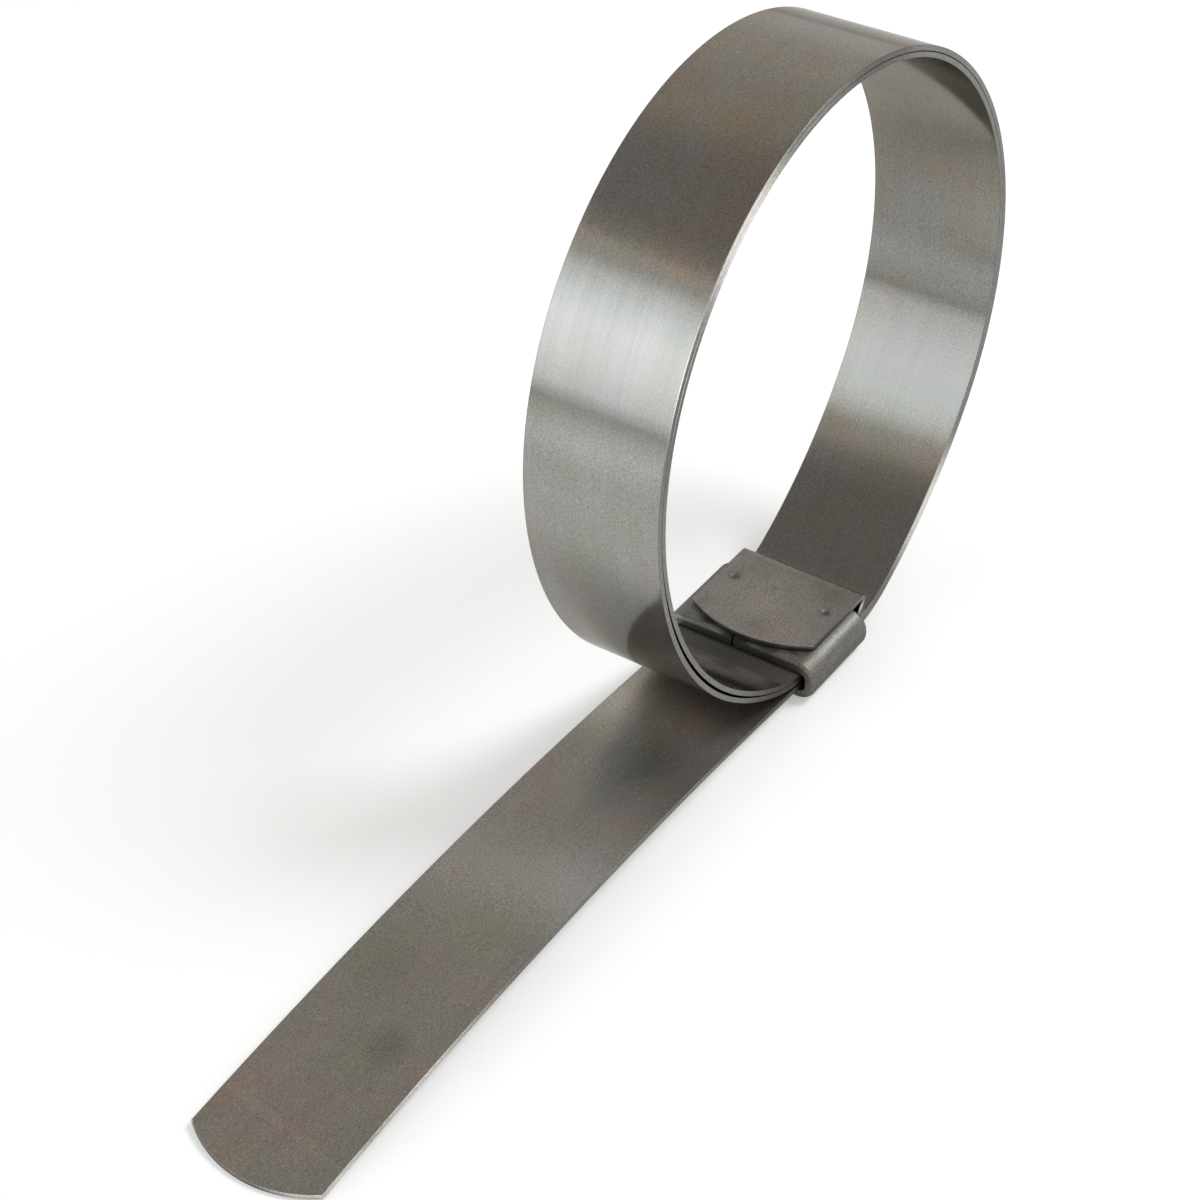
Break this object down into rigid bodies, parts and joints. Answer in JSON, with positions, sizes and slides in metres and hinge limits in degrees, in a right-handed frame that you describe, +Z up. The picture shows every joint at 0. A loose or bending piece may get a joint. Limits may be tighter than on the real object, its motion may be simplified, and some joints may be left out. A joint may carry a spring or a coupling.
{
  "type": "band clamp",
  "caption": "Open steel band clamp: a narrow strip wrapped twice into a ring through a rolled buckle, with a folded tongue and a long free tail.",
  "frame": {"origin": "middle of the band's width on the axis of the clamped pipe, with the loose ring resting on its crown", "axes": "+Y along the pipe's axis, -X where the free tail leaves, +Z up, so the part lies on the buckle and the end of its tail"},
  "size_m": [0.1268, 0.0196, 0.0727],
  "materials": {
    "band_steel": "satin, fine grain along the strip, bright slit edges",
    "buckle_steel": "dull satin, rolled"
  },
  "bodies": {
    "root": {"band": "band_steel", "buckle": "buckle_steel"}
  },
  "joints": []
}
